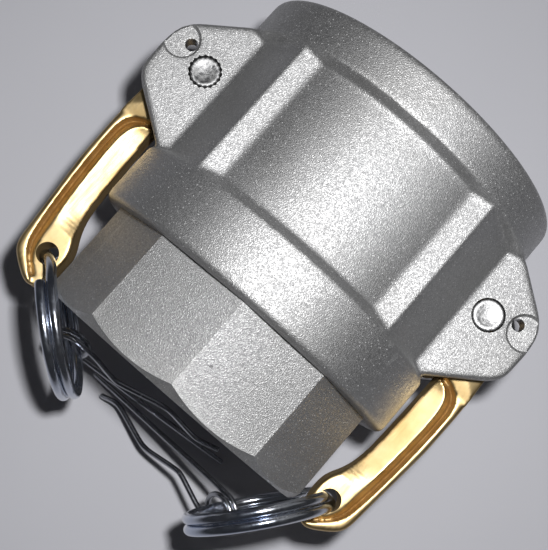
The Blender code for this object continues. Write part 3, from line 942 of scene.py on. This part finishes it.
def arm_steps(side):
    """Return the solids that a cam arm is carved from."""
    past = HUB_HALF_HEIGHT + 1.0
    handle = mirrored(round_outline(HANDLE_OUTLINE, HANDLE_CORNER), side)
    rim_line = round_line(GROOVE_RIM_LINE, GROOVE_CORNER)
    bar_line = round_line(GROOVE_BAR_LINE, GROOVE_CORNER)
    floor_z = HANDLE_HALF_HEIGHT - GROOVE_DEPTH

    def fill_handle(builder):
        """Fill in the handle, with its upper and lower edges drawn in."""
        walls = [(-z, drawn_in) for z, drawn_in in HANDLE_EDGE] + HANDLE_EDGE[::-1]
        add_loft(builder, [[(*point, z) for point in drawn_inwards(handle, drawn_in)]
                           for z, drawn_in in walls])

    def fill_hub(builder):
        """Fill in the hub with its cam."""
        add_prism(builder, mirrored(hub_outline(), side), -HUB_HALF_HEIGHT, HUB_HALF_HEIGHT)

    def fill_hub_rise(builder):
        """Fill in what is cut from the hub so that it rises gently out of the handle."""
        top_y = HUB_RISE_FOOT_Y + (HUB_HALF_HEIGHT - HANDLE_HALF_HEIGHT) / math.tan(HUB_RISE_TILT)
        section = [(top_y, HUB_HALF_HEIGHT), (top_y, past), (HUB_RISE_FOOT_Y - 3.0, past),
                   (HUB_RISE_FOOT_Y - 3.0, HANDLE_HALF_HEIGHT), (HUB_RISE_FOOT_Y, HANDLE_HALF_HEIGHT)]
        for level in (-1, 1):
            add_loft(builder, [[(x, y, level * z) for y, z in section]
                               for x in (-HUB_RISE_HALF_WIDTH, HUB_RISE_HALF_WIDTH)])

    def fill_hub_corner(builder):
        """Fill in what is cut off the hub's outer corner."""
        for level in (-1, 1):
            add_loft(builder, [[(side * x, y, level * z) for x, y, z in HUB_CORNER],
                               [(side * x, y, level * past) for x, y, z in HUB_CORNER]])

    def fill_bar_face(builder):
        """Fill in what is cut from the bar so that it falls away towards its inner edge."""
        line = spaced(round_line(GROOVE_BAR_LINE[1:7], GROOVE_CORNER), 0.4)
        for level in (-1, 1):
            loops = []
            for point in line:
                fade = 1.0 - ease((point.y - BAR_FADE_Y[0]) / (BAR_FADE_Y[1] - BAR_FADE_Y[0]))
                fall = (point.x - BAR_INNER_X) * math.tan(BAR_TILT) * fade + 0.01
                loops.append([(side * point.x, point.y, level * HANDLE_HALF_HEIGHT),
                              (side * BAR_INNER_X, point.y, level * (HANDLE_HALF_HEIGHT - fall)),
                              (side * BAR_INNER_X, point.y, level * past),
                              (side * point.x, point.y, level * past)])
            add_loft(builder, loops)

    def fill_grooves(builder):
        """Fill in the grooves between the bead and the bar."""
        floor = []
        for share, order in zip(GROOVE_FLOOR, (1, -1)):
            line = [rim.lerp(bar, share) for rim, bar in zip(rim_line, bar_line)]
            floor += mirrored(line[::order], side)
        mouth = mirrored(rim_line + bar_line[::-1], side)
        walls = [(floor_z, floor), (HANDLE_HALF_HEIGHT, mouth), (past, mouth)]
        for level in (-1, 1):
            add_loft(builder, [[(point[0], point[1], level * z) for point in loop] for z, loop in walls])

    def fill_boss_faces(builder):
        """Fill in what is cut from the boss so that it tilts down from its crease."""
        start, end = [Vector(point) for point in BOSS_CREASE]
        along = (end - start).normalized()
        downhill = Vector((along.y, -along.x))
        for level in (-1, 1):
            low, high = [], []
            for point in BOSS_OUTLINE:
                fall = max(0.0, (Vector(point) - start).dot(downhill)) * math.tan(BOSS_TILT)
                low.append((side * point[0], point[1], level * (HANDLE_HALF_HEIGHT - fall)))
                high.append((side * point[0], point[1], level * past))
            add_loft(builder, [low, high])

    def fill_holes(builder):
        """Fill in the holes for the pin and the ring."""
        add_prism(builder, circle((0.0, 0.0), PIN_HOLE_R), -past, past)
        add_prism(builder, circle((side * RING_HOLE[0], RING_HOLE[1]), RING_HOLE_R), -past, past)

    forging = [('UNION', fill_handle), ('UNION', fill_hub), ('DIFFERENCE', fill_hub_rise),
               ('DIFFERENCE', fill_hub_corner), ('DIFFERENCE', fill_bar_face),
               ('DIFFERENCE', fill_grooves), ('DIFFERENCE', fill_boss_faces)]
    return forging, [('DIFFERENCE', fill_holes)]


def build_arm(side, word, place, finish):
    """Build a cam arm: the forging, then its drilled holes."""
    name = "forged_arm_" + word
    forging, drilling = [[(*step, finish) for step in steps] for steps in arm_steps(side)]
    mesh = soften(name, carve(name, forging), ARM_CELL, ARM_PASSES, finish)
    mesh = carve(name, drilling, mesh)
    mesh.shade_smooth()
    mesh.set_sharp_from_angle(angle=math.radians(SHARP_DEGREES))
    arm = add_object(name, mesh, place)
    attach(arm, "arm_" + word)
    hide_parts("cam_arm_" + word)


# ---------------------------------------------------------------- rings and clips

def ring_point(turn, offset):
    """Return a place on a ring: turn 0 is in the arm's hole, half a turn is the far side."""
    return Vector((RING_R - RING_SET_BACK - RING_R * math.cos(turn), offset, RING_R * math.sin(turn)))


def ring_path(split):
    """Wind the ring's wire twice, crossing from one turn to the other beside its two ends."""
    points = []
    first, last = RING_GAP_TURN, 2.0 - RING_GAP_TURN
    count = 2 * RING_STEPS
    for index in range(count + 1):
        turns = first + (last - first) * index / count
        crossed = ease((turns - 1.0 + RING_CROSS_TURN) / (2 * RING_CROSS_TURN))
        points.append(ring_point(split + 2 * math.pi * turns, RING_PITCH * (crossed - 0.5)))
    return points


def build_ring(word, place, finish):
    """Build a split ring about the axis of its arm's hole."""
    builder = bmesh.new()
    add_tube(builder, ring_path(RING_SPLIT[word]), RING_WIRE_R, 24)
    mesh = to_mesh("ring_" + word, builder, 60.0)
    mesh.transform(Matrix.Rotation(RING_TURN[word], 4, 'Z'))
    mesh.materials.append(finish)
    ring = add_object("wound_ring_" + word, mesh, place)
    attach(ring, "ring_" + word)
    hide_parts("split_ring_" + word)


def clip_path():
    """Bend the clip: a straight leg, a coil of one and a half turns, and a waved leg."""
    half_rise = COIL_TURNS * COIL_PITCH / 2
    tip_x, middle_x, root_x = CLIP_STRAIGHT_X
    points = [Vector((tip_x, -COIL_R, 0)), Vector((middle_x, -COIL_R, -half_rise / 2)),
              Vector((root_x, -COIL_R, -half_rise))]
    count = int(COIL_TURNS * COIL_STEPS)
    for index in range(count + 1):
        turn = -math.pi / 2 - 2 * math.pi * COIL_TURNS * index / count
        rise = half_rise * (2 * index / count - 1)
        points.append(Vector((COIL_R * math.cos(turn), COIL_R * math.sin(turn), rise)))
    wave = [(x, y, half_rise * max(0.0, 1 - x / CLIP_FLAT_X)) for x, y in CLIP_WAVE]
    return points + round_line([points[-1]] + wave, CLIP_BEND)[1:]


def build_clip(side, word, place, finish):
    """Build a safety clip whose coil is round its ring's wire."""
    about_hole = Matrix.Rotation(RING_TURN[word], 3, 'Z')
    seat = CLIP_SEAT[word]
    tangent = about_hole @ Vector((-math.sin(seat), 0, -math.cos(seat)))
    along = CLIP_DIRECTION[word].normalized()
    coil_axis = (tangent - along * tangent.dot(along)).normalized()
    turned = Matrix((along, coil_axis.cross(along), coil_axis)).transposed().to_4x4()
    builder = bmesh.new()
    add_tube(builder, clip_path(), CLIP_WIRE_R, 16)
    mesh = to_mesh("clip_" + word, builder, 60.0)
    mesh.transform(turned)
    mesh.materials.append(finish)
    clip = add_object("hairpin_clip_" + word, mesh, place)
    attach(clip, "clip_" + word)
    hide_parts("safety_clip_" + word)


# ---------------------------------------------------------------- floor, lights, camera

def add_area_light(name, place, target, size, power):
    """Add a square area light that faces a target."""
    lamp = bpy.data.lights.new(name, 'AREA')
    lamp.size = size
    lamp.energy = power
    item = bpy.data.objects.new(name, lamp)
    bpy.context.collection.objects.link(item)
    item.location = place
    item.rotation_euler = (Vector(target) - Vector(place)).to_track_quat('-Z', 'Y').to_euler()


def set_stage(centre):
    """Add the floor, the lights and the camera."""
    builder = bmesh.new()
    half = FLOOR_SIZE / 2
    builder.faces.new([builder.verts.new((x, y, 0)) for x, y in
                       ((-half, -half), (half, -half), (half, half), (-half, half))])
    mesh = bpy.data.meshes.new("floor")
    builder.to_mesh(mesh)
    builder.free()
    mesh.materials.append(floor_finish())
    floor = add_object("floor", mesh, Vector())

    lens = bpy.data.cameras.new("camera")
    lens.lens = CAMERA_LENS
    lens.sensor_fit = 'HORIZONTAL'
    lens.sensor_width = SENSOR_WIDTH
    camera = bpy.data.objects.new("camera", lens)
    bpy.context.collection.objects.link(camera)
    camera.location = CAMERA_PLACE
    camera.rotation_euler = [math.radians(angle) for angle in CAMERA_TURN]
    bpy.context.scene.camera = camera

    bpy.context.view_layer.update()
    key_place = camera.matrix_world @ Vector(KEY_OFFSET)
    add_area_light("key", key_place, centre, KEY_SIZE, KEY_POWER)
    add_area_light("fill", FILL_PLACE, centre, FILL_SIZE, FILL_POWER)

    world = bpy.data.worlds.new("studio")
    world.use_nodes = True
    world.node_tree.nodes["Background"].inputs["Color"].default_value = (*WORLD_COLOUR, 1.0)
    world.node_tree.nodes["Background"].inputs["Strength"].default_value = WORLD_STRENGTH
    bpy.context.scene.world = world
    bpy.context.scene.view_settings.view_transform = 'Standard'


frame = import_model()
centre = coupling_centre(frame)
PIN_X = (joint_place(frame, "arm_right_swing") - centre).x / MM
ARM_MIDDLE_Z = centre.z
set_stage(centre)
cast, machined = cast_aluminium(), machined_aluminium()
build_body(centre, cast, machined)
build_thread(centre, machined)
build_gasket(centre, rubber())
pin_finish, brass_finish, ring_finish, wire_finish = pin_metal(), brass(), zinc(), spring_wire()
for side, word in SIDES:
    build_pin(side, word, joint_place(frame, f"arm_{word}_swing"), pin_finish)
    build_arm(side, word, joint_place(frame, f"arm_{word}_swing"), brass_finish)
    build_ring(word, joint_place(frame, f"ring_{word}_swing"), ring_finish)
    build_clip(side, word, joint_place(frame, f"clip_{word}_swing"), wire_finish)
